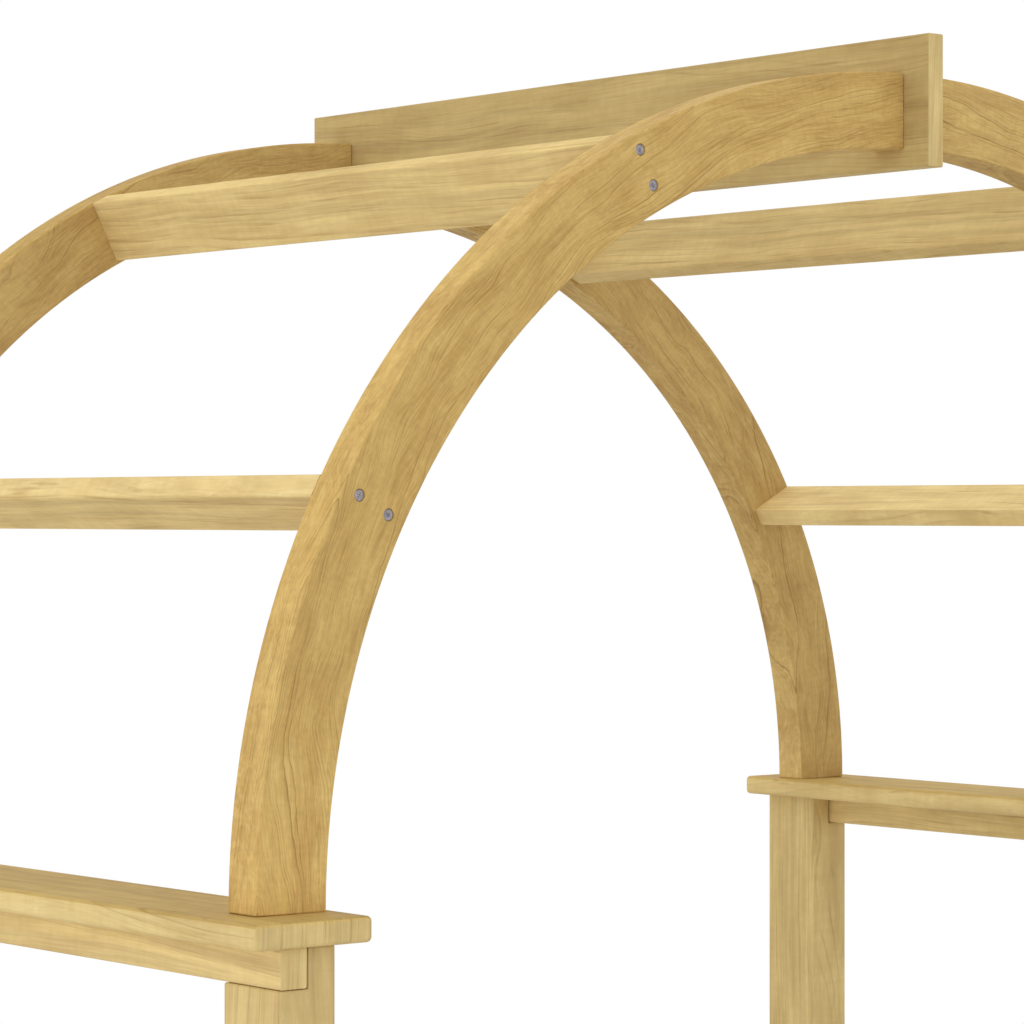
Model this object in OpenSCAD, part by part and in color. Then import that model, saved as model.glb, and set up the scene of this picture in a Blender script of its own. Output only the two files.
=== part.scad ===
// Arched garden pergola in softwood. Each side is a frame of two posts and two rails under a flat cap
// board. Four quarter-round ribs stand on the cap boards and meet at a ridge board, and four purlins
// tie the front ribs to the back ribs. Sizes are in millimetres. X runs across the passage, Y along it
// and Z up. The origin is on the ground, at the middle of the passage.

/* [Side frames] */
// Clear width of the passage between the left and right posts
clear_w = 1790; // [1200:10:2400]
// Depth of a side frame over the outer faces of its two posts
frame_d = 1264; // [900:2:2400]
// Width of a post, across the passage
post_w = 70; // [64:1:100]
// Depth of a post, along the passage
post_d = 103; // [80:1:140]
// Height of a post, from the ground to the underside of the cap board
post_h = 1270; // [900:10:1800]
// Thickness of a rail, across the passage
rail_t = 34; // [24:1:36]
// Height of a rail
rail_h = 43; // [36:1:80]
// Height of the lower rail's underside above the ground
lower_rail_z = 250; // [120:10:500]
// Rounding of the long edges of posts, rails, ribs, purlins and ridge
edge_r = 2.5; // [0.5:0.5:5]

/* [Cap boards] */
// Thickness of a cap board
cap_t = 28; // [20:1:40]
// Overhang of a cap board past the posts' outer faces
cap_over_out = 40; // [10:1:80]
// Overhang of a cap board past the posts' inner faces
cap_over_in = 42; // [34:1:80]
// Overhang of a cap board past the posts' front and back faces
cap_over_end = 10; // [0:1:60]
// Rounding of a cap board's long edges
cap_edge_r = 6; // [0.5:0.5:10]

/* [Ribs, ridge and purlins] */
// Width of a rib, along the arch's radius
rib_w = 91; // [84:1:120]
// Thickness of a rib, along the passage
rib_t = 52; // [42:1:70]
// Distance from a post's outer face in to the outer edge of the rib's foot
foot_set_in = 5; // [0:1:10]
// Thickness of the ridge board
ridge_t = 25; // [18:1:45]
// Height of the ridge board above the ribs' upper edges
ridge_up = 45; // [0:1:80]
// Depth of the ridge board below the ribs' lower edges
ridge_down = 23; // [0:1:60]
// Overhang of the ridge board past the front and back ribs
ridge_over_end = 41; // [0:1:120]
// Width of a lower purlin, along the arch's radius
lower_purlin_w = 80; // [66:1:84]
// Width of an upper purlin, along the arch's radius
upper_purlin_w = 86; // [72:1:90]
// Thickness of a purlin
purlin_t = 28; // [22:1:45]
// Angle of the lower purlins round the arch, up from the cap boards
lower_purlin_angle = 28.4; // [15:0.1:40]
// Angle of the upper purlins round the arch, up from the cap boards
upper_purlin_angle = 63.3; // [50:0.1:75]

/* [Fasteners] */
// Diameter of the shank of the screws that hold the purlins
purlin_screw_d = 8; // [5:0.5:10]
// Diameter of the head of the screws that hold the purlins
purlin_screw_head_d = 12.5; // [11.5:0.5:18]
// Depth that the purlin screws reach into a purlin
purlin_screw_bite = 65; // [30:1:90]
// Spacing of a pair of purlin screws, along the arch's radius
purlin_screw_pitch = 44; // [30:1:46]
// Distance of the upper purlins' screws out from the middle of the ribs' width
upper_screw_out = 6; // [0:1:8]
// Diameter of the shank of the screws in the frames and caps
frame_screw_d = 5; // [4:0.5:6]
// Diameter of the head of the screws in the frames and caps
frame_screw_head_d = 10; // [8:0.5:11]
// Depth that the screws of caps, top rails and ribs' feet reach into the second timber
frame_screw_bite = 40; // [25:1:60]
// Depth that the lower rails' screws reach into a post
lower_screw_bite = 22; // [15:1:24]
// Spacing of a pair of cap or foot screws, along the passage
cap_screw_pitch = 26; // [16:1:28]
// Spacing of a pair of lower rail screws, along the passage
lower_screw_pitch = 50; // [30:1:56]
// Diameter of the dowels through the ridge board
dowel_d = 12; // [8:1:16]
// Depth that a ridge dowel reaches into each rib
dowel_bite = 45; // [25:1:80]
// Spacing of a pair of ridge dowels
dowel_pitch = 44; // [24:1:56]

/* [Clearances] */
// Gap beside a rail in its housing
housing_gap = 1.5; // [0.3:0.1:3]
// Gap over or under a rail in its housing
rail_gap = 0.8; // [0.2:0.1:1]
// Radial gap round a screw's shank or a dowel
shank_gap = 0.1; // [0.05:0.05:0.3]
// Radial gap round a screw's head
head_gap = 0.75; // [0.1:0.05:0.9]
// Depth of a screw's head below the face of the timber
head_sink = 1.8; // [0.5:0.1:4]

/* [Hidden] */
$fn = 48;
left = -1;
right = 1;
front = -1;
back = 1;
// Places of the side frames
post_in_x = clear_w / 2;
post_out_x = post_in_x + post_w;
post_out_y = frame_d / 2;
post_in_y = post_out_y - post_d;
post_mid_y = post_out_y - post_d / 2;
rail_in_x = post_out_x - rail_t;
rail_mid_x = post_out_x - rail_t / 2;
// The part of a post's top that is left beside the rail
tongue_mid_x = (post_in_x + rail_in_x - housing_gap) / 2;
top_rail_z = post_h - rail_h;
cap_top = post_h + cap_t;
// Each rib is a quarter of a ring whose centre is on the ridge board's face, level with the cap's top
arch_x = ridge_t / 2;
rib_out_r = post_out_x - foot_set_in - arch_x;
rib_in_r = rib_out_r - rib_w;
rib_mid_r = rib_out_r - rib_w / 2;
rib_in_y = post_in_y;
rib_out_y = rib_in_y + rib_t;
rib_mid_y = rib_in_y + rib_t / 2;
// The strip of a rib's foot that stands on the cap's inner overhang
foot_in_x = arch_x + rib_in_r;
foot_screw_x = (foot_in_x + post_in_x) / 2;
ridge_h = rib_w + ridge_up + ridge_down;
ridge_l = 2 * (rib_out_y + ridge_over_end);
ridge_mid_z = cap_top + rib_in_r - ridge_down + ridge_h / 2;
purlin_l = 2 * rib_in_y;
// Angle of each level of purlins, their width and the radius at the middle of their screws
lower_level = [lower_purlin_angle, lower_purlin_w, rib_mid_r];
upper_level = [upper_purlin_angle, upper_purlin_w, rib_mid_r + upper_screw_out];
// A screw's head has a thin rim over a 90 degree cone, with a cross recess
head_rim = 0.8;
tip_l = 6;
recess_depth = 2.4;
recess_share = 0.6;
recess_t = 1.6;
// Cuts run this far past a face
past = 1;
// Holes run this far past a screw's tip
hole_past = 1;
timber = "#d9c088";
arch_timber = "#cda869";
zinc = "#9a9699";
beech = "#d8b98a";

// Carries a shape drawn for the back right corner to the corner on the given side and end
module corner(side, end) {
    mirror([side < 0 ? 1 : 0, 0, 0]) mirror([0, end < 0 ? 1 : 0, 0]) children();
}

// Rectangle with rounded corners, centred
module rounded_rect(w, h, r) {
    square([w - 2 * r, h], center = true);
    square([w, h - 2 * r], center = true);
    for (x = [-1, 1], y = [-1, 1])
        translate([x * (w / 2 - r), y * (h / 2 - r)]) circle(r);
}

// Timber along Y with rounded long edges, centred
module board(w, h, l, r) {
    rotate([90, 0, 0]) linear_extrude(l, center = true) rounded_rect(w, h, r);
}

// Countersunk screw of length l, driven along +Z from a timber's face at z = 0
module screw(d, head_d, l) {
    cone_h = (head_d - d) / 2;
    difference() {
        translate([0, 0, head_sink])
            rotate_extrude() polygon([
                [0, 0], [head_d / 2, 0], [head_d / 2, head_rim], [d / 2, head_rim + cone_h],
                [d / 2, l - tip_l], [0, l]
            ]);
        for (turn = [0, 90])
            rotate([0, 0, turn]) translate([0, 0, head_sink + recess_depth / 2 - past / 2])
                cube([head_d * recess_share, recess_t, recess_depth + past], center = true);
    }
}

// Hole for that screw, with its counterbore and countersink
module screw_hole(d, head_d, l) {
    r = d / 2 + shank_gap;
    head_r = head_d / 2 + head_gap;
    cone_top = head_sink + head_rim;
    rotate_extrude() polygon([
        [0, -past], [head_r, -past], [head_r, cone_top], [r, cone_top + head_r - r],
        [r, head_sink + l + hole_past], [0, head_sink + l + hole_past]
    ]);
}

// Places of the fasteners, for the back right corner. Each one points along +Z into the timber

module at_cap_screws() {
    for (s = [-1, 1])
        translate([tongue_mid_x, rib_mid_y + s * cap_screw_pitch / 2, cap_top]) rotate([180, 0, 0]) children();
}

module at_foot_screws() {
    for (s = [-1, 1])
        translate([foot_screw_x, rib_mid_y + s * cap_screw_pitch / 2, post_h]) children();
}

module at_top_rail_screw() {
    translate([rail_mid_x, post_mid_y, post_h]) rotate([180, 0, 0]) children();
}

module at_lower_rail_screws() {
    for (s = [-1, 1])
        translate([post_out_x, post_mid_y + s * lower_screw_pitch / 2, lower_rail_z + rail_h / 2])
            rotate([0, -90, 0]) children();
}

module at_purlin_screws(level) {
    translate([arch_x, rib_out_y, cap_top]) rotate([0, -level[0], 0])
        for (s = [-1, 1])
            translate([level[2] + s * purlin_screw_pitch / 2, 0, 0]) rotate([90, 0, 0]) children();
}

// Lengths of the screws under their heads' tops
cap_screw_l = cap_t - head_sink + frame_screw_bite;
top_rail_screw_l = rail_h - head_sink + frame_screw_bite;
lower_rail_screw_l = rail_t - head_sink + lower_screw_bite;
purlin_screw_l = rib_t - head_sink + purlin_screw_bite;

module cap_screw_holes() {
    at_cap_screws() screw_hole(frame_screw_d, frame_screw_head_d, cap_screw_l);
}

module foot_screw_holes() {
    at_foot_screws() screw_hole(frame_screw_d, frame_screw_head_d, cap_screw_l);
}

module top_rail_screw_hole() {
    at_top_rail_screw() screw_hole(frame_screw_d, frame_screw_head_d, top_rail_screw_l);
}

module lower_rail_screw_holes() {
    at_lower_rail_screws() screw_hole(frame_screw_d, frame_screw_head_d, lower_rail_screw_l);
}

module purlin_screw_holes(level) {
    at_purlin_screws(level) screw_hole(purlin_screw_d, purlin_screw_head_d, purlin_screw_l);
}

// Cross pins of the ridge, grown by a gap and lengthened past their ends, for the back arch
module ridge_pins(gap, longer) {
    for (s = [-1, 1])
        translate([0, rib_mid_y, cap_top + rib_mid_r + s * dowel_pitch / 2]) rotate([0, 90, 0])
            cylinder(h = ridge_t + 2 * (dowel_bite + longer), d = dowel_d + 2 * gap, center = true);
}

// Housing in the outer side of a post, open to the outer, front and back faces
module housing(z_low, z_high) {
    translate([rail_in_x - housing_gap, post_in_y - past, z_low])
        cube([rail_t + housing_gap + past, post_d + 2 * past, z_high - z_low]);
}

// Post with a housing for each rail
module post(side, end) {
    color(timber) corner(side, end) difference() {
        translate([post_in_x + post_w / 2, post_mid_y, 0])
            linear_extrude(post_h) rounded_rect(post_w, post_d, edge_r);
        housing(top_rail_z - rail_gap, post_h + past);
        housing(lower_rail_z, lower_rail_z + rail_h + rail_gap);
        cap_screw_holes();
        top_rail_screw_hole();
        lower_rail_screw_holes();
    }
}

// Rail under the cap board, flush with the posts' outer faces and ends
module top_rail(side) {
    color(timber) corner(side, back) difference() {
        translate([rail_mid_x, 0, top_rail_z + rail_h / 2]) board(rail_t, rail_h, frame_d, edge_r);
        for (end = [front, back])
            corner(right, end) top_rail_screw_hole();
    }
}

// Rail near the ground, let into the posts in the same way
module lower_rail(side) {
    color(timber) corner(side, back) difference() {
        translate([rail_mid_x, 0, lower_rail_z + rail_h / 2]) board(rail_t, rail_h, frame_d, edge_r);
        for (end = [front, back])
            corner(right, end) lower_rail_screw_holes();
    }
}

// Flat board over both posts of a side
module cap_board(side) {
    w = post_w + cap_over_out + cap_over_in;
    color(timber) corner(side, back) difference() {
        translate([post_in_x - cap_over_in + w / 2, 0, post_h + cap_t / 2])
            board(w, cap_t, frame_d + 2 * cap_over_end, cap_edge_r);
        for (end = [front, back])
            corner(right, end) {
                cap_screw_holes();
                foot_screw_holes();
            }
    }
}

// Quarter-round rib, from the cap board's top to the ridge board's face
module rib(side, end) {
    color(arch_timber) corner(side, end) difference() {
        translate([arch_x, rib_mid_y, cap_top]) rotate([90, 0, 0])
            rotate_extrude(angle = 90) translate([rib_mid_r, 0]) rounded_rect(rib_w, rib_t, edge_r);
        purlin_screw_holes(lower_level);
        purlin_screw_holes(upper_level);
        foot_screw_holes();
        ridge_pins(shank_gap, hole_past);
    }
}

// Board on edge between the ribs of both sides
module ridge_board() {
    color(timber) difference() {
        translate([0, 0, ridge_mid_z]) board(ridge_t, ridge_h, ridge_l, edge_r);
        for (end = [front, back])
            corner(right, end) ridge_pins(shank_gap, hole_past);
    }
}

// Board between the front and back ribs, with its width along the arch's radius
module purlin(side, level) {
    w = level[1];
    color(timber) corner(side, back) difference() {
        translate([arch_x, 0, cap_top]) rotate([0, -level[0], 0]) translate([rib_out_r - w / 2, 0, 0])
            board(w, purlin_t, purlin_l, edge_r);
        for (end = [front, back])
            corner(right, end) purlin_screw_holes(level);
    }
}

// Screws through a rib into the ends of its two purlins
module purlin_screws(side, end) {
    color(zinc) corner(side, end)
        for (level = [lower_level, upper_level])
            at_purlin_screws(level) screw(purlin_screw_d, purlin_screw_head_d, purlin_screw_l);
}

// Screws down through a cap board into the posts, hidden by the ribs' feet
module cap_screws(side) {
    color(zinc)
        for (end = [front, back])
            corner(side, end) at_cap_screws() screw(frame_screw_d, frame_screw_head_d, cap_screw_l);
}

// Screws up through a cap board's inner overhang into the ribs' feet
module foot_screws(side) {
    color(zinc)
        for (end = [front, back])
            corner(side, end) at_foot_screws() screw(frame_screw_d, frame_screw_head_d, cap_screw_l);
}

// Screws down through a top rail into the posts, hidden by the cap board
module top_rail_screws(side) {
    color(zinc)
        for (end = [front, back])
            corner(side, end) at_top_rail_screw() screw(frame_screw_d, frame_screw_head_d, top_rail_screw_l);
}

// Screws through a lower rail into the posts
module lower_rail_screws(side) {
    color(zinc)
        for (end = [front, back])
            corner(side, end) at_lower_rail_screws()
                screw(frame_screw_d, frame_screw_head_d, lower_rail_screw_l);
}

// Dowels through the ridge board into the two ribs of one arch
module ridge_dowels(end) {
    color(beech) corner(right, end) ridge_pins(0, 0);
}

post(left, front);  // post_front_left
post(right, front);  // post_front_right
post(left, back);  // post_back_left
post(right, back);  // post_back_right
top_rail(left);  // top_rail_left
top_rail(right);  // top_rail_right
lower_rail(left);  // lower_rail_left
lower_rail(right);  // lower_rail_right
cap_board(left);  // cap_board_left
cap_board(right);  // cap_board_right
rib(left, front);  // rib_front_left
rib(right, front);  // rib_front_right
rib(left, back);  // rib_back_left
rib(right, back);  // rib_back_right
ridge_board();
purlin(left, lower_level);  // purlin_lower_left
purlin(right, lower_level);  // purlin_lower_right
purlin(left, upper_level);  // purlin_upper_left
purlin(right, upper_level);  // purlin_upper_right
purlin_screws(left, front);  // purlin_screws_front_left
purlin_screws(right, front);  // purlin_screws_front_right
purlin_screws(left, back);  // purlin_screws_back_left
purlin_screws(right, back);  // purlin_screws_back_right
cap_screws(left);  // cap_screws_left
cap_screws(right);  // cap_screws_right
foot_screws(left);  // foot_screws_left
foot_screws(right);  // foot_screws_right
top_rail_screws(left);  // top_rail_screws_left
top_rail_screws(right);  // top_rail_screws_right
lower_rail_screws(left);  // lower_rail_screws_left
lower_rail_screws(right);  // lower_rail_screws_right
ridge_dowels(front);  // ridge_dowels_front
ridge_dowels(back);  // ridge_dowels_back
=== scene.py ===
"""Arched garden pergola: its timber, screws and finishes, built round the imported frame."""
import math

import bmesh
import bpy
from mathutils import Matrix, Vector


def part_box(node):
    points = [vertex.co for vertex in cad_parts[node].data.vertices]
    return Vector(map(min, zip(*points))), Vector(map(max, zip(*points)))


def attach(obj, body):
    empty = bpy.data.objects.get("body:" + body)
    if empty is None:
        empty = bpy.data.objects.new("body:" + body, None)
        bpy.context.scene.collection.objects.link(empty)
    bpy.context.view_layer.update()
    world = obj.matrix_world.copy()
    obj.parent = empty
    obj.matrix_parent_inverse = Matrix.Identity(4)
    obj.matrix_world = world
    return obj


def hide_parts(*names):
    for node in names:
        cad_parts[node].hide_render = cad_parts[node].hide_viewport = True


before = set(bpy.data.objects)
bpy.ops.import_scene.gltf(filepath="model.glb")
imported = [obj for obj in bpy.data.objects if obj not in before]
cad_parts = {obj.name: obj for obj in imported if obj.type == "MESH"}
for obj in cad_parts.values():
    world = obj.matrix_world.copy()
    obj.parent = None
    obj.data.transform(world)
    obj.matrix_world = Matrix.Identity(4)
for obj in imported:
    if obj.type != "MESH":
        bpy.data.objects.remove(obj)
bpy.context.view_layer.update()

# Camera: level, at the photograph's viewing angle
IMAGE_PIXELS = 1024
SENSOR_MM = 36.0
FOCAL_PIXELS = 3739.5
CAMERA_PLACE = Vector((-3.1998, -3.7698, 1.7197))
CAMERA_YAW = math.radians(39.0)

camera_data = bpy.data.cameras.new("camera")
camera_data.sensor_width = SENSOR_MM
camera_data.lens = SENSOR_MM * FOCAL_PIXELS / IMAGE_PIXELS
camera = bpy.data.objects.new("camera", camera_data)
camera.location = CAMERA_PLACE
camera.rotation_euler = (math.radians(90), 0, -CAMERA_YAW)
bpy.context.scene.collection.objects.link(camera)
bpy.context.scene.camera = camera

# Left and front are the negative sides of X and Y
SIDES = {"left": -1, "right": 1}
ENDS = {"front": -1, "back": 1}
ALONG_Y = Vector((0, 1, 0))
UP = Vector((0, 0, 1))

# Sizes read from the frame's back right corner, in metres
post_low, post_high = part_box("post_back_right")
top_rail_low, top_rail_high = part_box("top_rail_right")
lower_rail_low, lower_rail_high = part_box("lower_rail_right")
rib_low, rib_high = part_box("rib_back_right")
purlin_half_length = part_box("purlin_lower_right")[1].y
arch_x = rib_low.x
cap_top = rib_low.z
rib_outer_r = rib_high.x - arch_x
rib_mid_y = (rib_low.y + rib_high.y) / 2
rib_thickness = rib_high.y - rib_low.y
post_mid_y = (post_low.y + post_high.y) / 2
rail_mid_x = (top_rail_low.x + top_rail_high.x) / 2

# Sizes that a box can't tell, the same as in the frame
RIB_WIDTH = 0.091
PURLIN_WIDTHS = {"lower": 0.080, "upper": 0.086}
PURLIN_THICKNESS = 0.028
PURLIN_ANGLES = {"lower": math.radians(28.4), "upper": math.radians(63.3)}
UPPER_SCREW_OUT = 0.006
HOUSING_GAP = 0.0015
RAIL_GAP = 0.0008
PURLIN_SCREW_PITCH = 0.044
CAP_SCREW_PITCH = 0.026
LOWER_RAIL_SCREW_PITCH = 0.050

rib_mid_r = rib_outer_r - RIB_WIDTH / 2
tongue_mid_x = (post_low.x + top_rail_low.x - HOUSING_GAP) / 2
foot_screw_x = (arch_x + rib_outer_r - RIB_WIDTH + post_low.x) / 2

# Rounding of edges
EDGE = 0.0025
CAP_EDGE = 0.006
CAP_END_EDGE = CAP_EDGE * 0.9
RIDGE_EDGE = 0.0018
END_EDGE = 0.0016
BUTT_EDGE = 0.0008
EDGE_STEPS = 4
ARC_POINTS = 97
# A rib's ends are eased at the edges that turn by more than the given angle
RIB_END_EDGE = 0.0022
RIB_END_STEPS = 3
RIB_END_TURN = math.radians(60)

# Screws: the head's top lies below the timber's face
HEAD_SINK = 0.0018
HEAD_RIM = 0.0008
HEAD_EASE = 0.0003
HEAD_GAP = 0.00075
HOLE_EASE = 0.0005
TIP = 0.006
TURNED_SIDES = 40
SCREWS = {
    "purlin": {"shank": 0.008, "head": 0.0125, "length": 0.1152},
    "frame": {"shank": 0.005, "head": 0.010, "length": 0.0662},
    "top_rail": {"shank": 0.005, "head": 0.010, "length": 0.0812},
    "lower_rail": {"shank": 0.005, "head": 0.010, "length": 0.0542}}
# The screws whose holes are open to view
SEEN_HOLES = ("purlin", "frame", "lower_rail")


# Node trees

def add_node(tree, kind, inputs=None, **settings):
    """Adds a node to a tree. A socket given as an input is linked, and anything else is set."""
    made = tree.nodes.new(kind)
    for name, value in settings.items():
        setattr(made, name, value)
    for name, value in (inputs or {}).items():
        socket = made.inputs[name]
        if isinstance(value, bpy.types.NodeSocket):
            tree.links.new(value, socket)
        else:
            socket.default_value = value
    return made


def calc(tree, operation, first, second=0.0, third=0.0, clamp=False):
    """A number worked out from up to three others."""
    inputs = {0: first, 1: second, 2: third}
    return add_node(tree, "ShaderNodeMath", inputs, operation=operation, use_clamp=clamp).outputs[0]


def combine(tree, x=0.0, y=0.0, z=0.0):
    return add_node(tree, "ShaderNodeCombineXYZ", {"X": x, "Y": y, "Z": z}).outputs[0]


def separate(tree, vector):
    outputs = add_node(tree, "ShaderNodeSeparateXYZ", {0: vector}).outputs
    return outputs[0], outputs[1], outputs[2]


def length_of(tree, x, y):
    """Length of a flat vector."""
    vector = combine(tree, x, y)
    return add_node(tree, "ShaderNodeVectorMath", {0: vector}, operation="LENGTH").outputs["Value"]


def ramp(tree, value, low, high, to_low=0.0, to_high=1.0):
    """A value carried smoothly from one range to another, and held inside it."""
    inputs = {"Value": value, "From Min": low, "From Max": high, "To Min": to_low, "To Max": to_high}
    return add_node(tree, "ShaderNodeMapRange", inputs, interpolation_type="SMOOTHSTEP").outputs["Result"]


def blend_colors(tree, share, first, second, way="MIX"):
    """Two colours mixed, or blended another way, by a share from 0 to 1."""
    made = add_node(tree, "ShaderNodeMix", {0: share, 6: first, 7: second}, data_type="RGBA", blend_type=way)
    return made.outputs[2]


def noise(tree, vector, scale=1.0, detail=2.0, output="Fac"):
    inputs = {"Vector": vector, "Scale": scale, "Detail": detail}
    return add_node(tree, "ShaderNodeTexNoise", inputs).outputs[output]


def noise_along(tree, value, scale):
    """Noise that changes along one number."""
    inputs = {"W": value, "Scale": scale, "Detail": 1.0}
    return add_node(tree, "ShaderNodeTexNoise", inputs, noise_dimensions="1D").outputs["Fac"]


def new_group(name, kind, inputs, outputs):
    """A node group with named sockets. Inputs are (name, type, default) and outputs (name, type)."""
    tree = bpy.data.node_groups.new(name, kind)
    new_socket = tree.interface.new_socket
    for socket_name, socket_type, default in inputs:
        socket = new_socket(socket_name, in_out="INPUT", socket_type="NodeSocket" + socket_type)
        if default is not None:
            socket.default_value = default
    for socket_name, socket_type in outputs:
        new_socket(socket_name, in_out="OUTPUT", socket_type="NodeSocket" + socket_type)
    return tree, tree.nodes.new("NodeGroupInput").outputs, tree.nodes.new("NodeGroupOutput").inputs


def use_group(tree, group, inputs):
    """Places a shader group in a material and returns its outputs."""
    return add_node(tree, "ShaderNodeGroup", inputs, node_tree=group).outputs


# Shader groups

def arch_place_group():
    """Places in the arch's timber: along the arc, across the rib and through its thickness."""
    tree, given, result = new_group(
        "Arch place", "ShaderNodeTree",
        [("Place", "Vector", None), ("Arch X", "Float", 0.0), ("Arch Z", "Float", 0.0),
         ("Middle Radius", "Float", 1.0), ("Middle Y", "Float", 0.5), ("Piece Step", "Float", 7.0)],
        [("Grain", "Vector")])
    x, y, z = separate(tree, given["Place"])
    out_x = calc(tree, "SUBTRACT", calc(tree, "ABSOLUTE", x), given["Arch X"])
    out_z = calc(tree, "SUBTRACT", z, given["Arch Z"])
    angle = calc(tree, "ARCTAN2", out_z, out_x)
    across = calc(tree, "SUBTRACT", length_of(tree, out_x, out_z), given["Middle Radius"])
    through = calc(tree, "SUBTRACT", given["Middle Y"], calc(tree, "ABSOLUTE", y))
    # Each rib gets its own stretch of the figure
    piece = calc(tree, "MULTIPLY_ADD", calc(tree, "SIGN", y), 2.0, calc(tree, "SIGN", x))
    start = calc(tree, "MULTIPLY", piece, given["Piece Step"])
    along = calc(tree, "MULTIPLY_ADD", angle, given["Middle Radius"], start)
    tree.links.new(combine(tree, along, across, through), result["Grain"])
    return tree


def wandering_grain_group():
    """Places in timber whose grain sways on its way along and ripples slightly."""
    tree, given, result = new_group(
        "Wandering grain", "ShaderNodeTree",
        [("Grain", "Vector", None), ("Sway", "Float", 0.1), ("Sway Length", "Float", 0.4),
         ("Sway Width", "Float", 0.2), ("Ripple", "Float", 0.002), ("Ripple Length", "Float", 0.04),
         ("Ripple Width", "Float", 0.02)],
        [("Grain", "Vector")])
    along, across, depth = separate(tree, given["Grain"])
    for kind in ("Sway", "Ripple"):
        width = given[kind + " Width"]
        place = combine(tree, calc(tree, "DIVIDE", along, given[kind + " Length"]),
                        calc(tree, "DIVIDE", across, width), calc(tree, "DIVIDE", depth, width))
        shift_across, shift_depth, _ = separate(tree, noise(tree, place, output="Color"))
        shift_across = calc(tree, "SUBTRACT", shift_across, 0.5)
        shift_depth = calc(tree, "SUBTRACT", shift_depth, 0.5)
        across = calc(tree, "MULTIPLY_ADD", shift_across, given[kind], across)
        depth = calc(tree, "MULTIPLY_ADD", shift_depth, given[kind], depth)
    tree.links.new(combine(tree, along, across, depth), result["Grain"])
    return tree


# Where in a growth ring its dark line rises and where the ring ends, as shares of its width
RING_LINE = (0.72, 0.92)
RING_END = (0.9, 1.0)
# How fast the rings' widths and strengths change from ring to ring
RING_WIDTH_CHANGE = 0.3
RING_STRENGTH_CHANGE = 0.37
# The noise that a ring's strength follows, and the strengths that it gives
RING_STRENGTH_NOISE = (0.42, 0.62)
RING_STRENGTHS = (0.15, 1.0)
# How often a ring's line fades in and out, for each metre along the grain and across it
FADES_ALONG = 8.0
FADES_ACROSS = 30.0
FADE_NOISE = (0.38, 0.62)


def growth_rings_group():
    """Growth rings round the pith: each one darkens outwards and ends in a thin line."""
    tree, given, result = new_group(
        "Growth rings", "ShaderNodeTree",
        [("Grain", "Vector", None), ("Pith Across", "Float", 0.0), ("Pith Depth", "Float", 0.0),
         ("Taper", "Float", 0.01), ("Ring Width", "Float", 0.004), ("Unevenness", "Float", 2.0)],
        [("Tone", "Float"), ("Lines", "Float")])
    along, across, depth = separate(tree, given["Grain"])
    off_across = calc(tree, "SUBTRACT", across, given["Pith Across"])
    off_depth = calc(tree, "SUBTRACT", depth, given["Pith Depth"])
    distance = calc(tree, "MULTIPLY_ADD", along, given["Taper"], length_of(tree, off_across, off_depth))
    rings = calc(tree, "DIVIDE", distance, given["Ring Width"])
    shift = noise_along(tree, rings, RING_WIDTH_CHANGE)
    rings = calc(tree, "MULTIPLY_ADD", shift, given["Unevenness"], rings)
    share = calc(tree, "FRACT", rings)
    strength = noise_along(tree, calc(tree, "FLOOR", rings), RING_STRENGTH_CHANGE)
    strength = ramp(tree, strength, *RING_STRENGTH_NOISE, *RING_STRENGTHS)
    end = ramp(tree, share, *RING_END, 1.0, 0.0)
    tone = calc(tree, "MULTIPLY", calc(tree, "POWER", share, 2.0), end)
    line = calc(tree, "MULTIPLY", ramp(tree, share, *RING_LINE), end)
    # A line fades in and out along its way
    fade = combine(tree, calc(tree, "MULTIPLY", along, FADES_ALONG),
                   calc(tree, "MULTIPLY", across, FADES_ACROSS),
                   calc(tree, "MULTIPLY", depth, FADES_ACROSS))
    shown = calc(tree, "MULTIPLY", ramp(tree, noise(tree, fade, detail=1.0), *FADE_NOISE), strength)
    tree.links.new(calc(tree, "MULTIPLY", tone, strength), result["Tone"])
    tree.links.new(calc(tree, "MULTIPLY", line, shown), result["Lines"])
    return tree


def drawn_out_noise_group():
    """Noise drawn out along the grain, for streaks, fibres and blotches."""
    tree, given, result = new_group(
        "Drawn out noise", "ShaderNodeTree",
        [("Grain", "Vector", None), ("Length", "Float", 0.3), ("Width", "Float", 0.01),
         ("Depth", "Float", 0.02), ("Contrast", "Float", 1.0), ("Middle", "Float", 0.5)],
        [("Value", "Float")])
    along, across, depth = separate(tree, given["Grain"])
    place = combine(tree, calc(tree, "DIVIDE", along, given["Length"]),
                    calc(tree, "DIVIDE", across, given["Width"]),
                    calc(tree, "DIVIDE", depth, given["Depth"]))
    spread = calc(tree, "SUBTRACT", noise(tree, place), given["Middle"])
    spread = calc(tree, "MULTIPLY", spread, given["Contrast"])
    tree.links.new(calc(tree, "ADD", spread, 0.5, clamp=True), result["Value"])
    return tree


arch_place = arch_place_group()
wandering_grain = wandering_grain_group()
growth_rings = growth_rings_group()
drawn_out_noise = drawn_out_noise_group()


# Materials

def srgb(red, green, blue):
    """A screen colour from 0 to 255, in the linear values that the nodes use."""
    def linear(part):
        share = part / 255
        return share / 12.92 if share <= 0.04045 else ((share + 0.055) / 1.055) ** 2.4
    return linear(red), linear(green), linear(blue), 1.0


def new_material(name):
    material = bpy.data.materials.new(name)
    material.use_nodes = True
    return material, material.node_tree, material.node_tree.nodes["Principled BSDF"]


def board_grain(tree):
    """A board's own places, written on its mesh."""
    return add_node(tree, "ShaderNodeAttribute", attribute_name="grain").outputs["Vector"]


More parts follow.
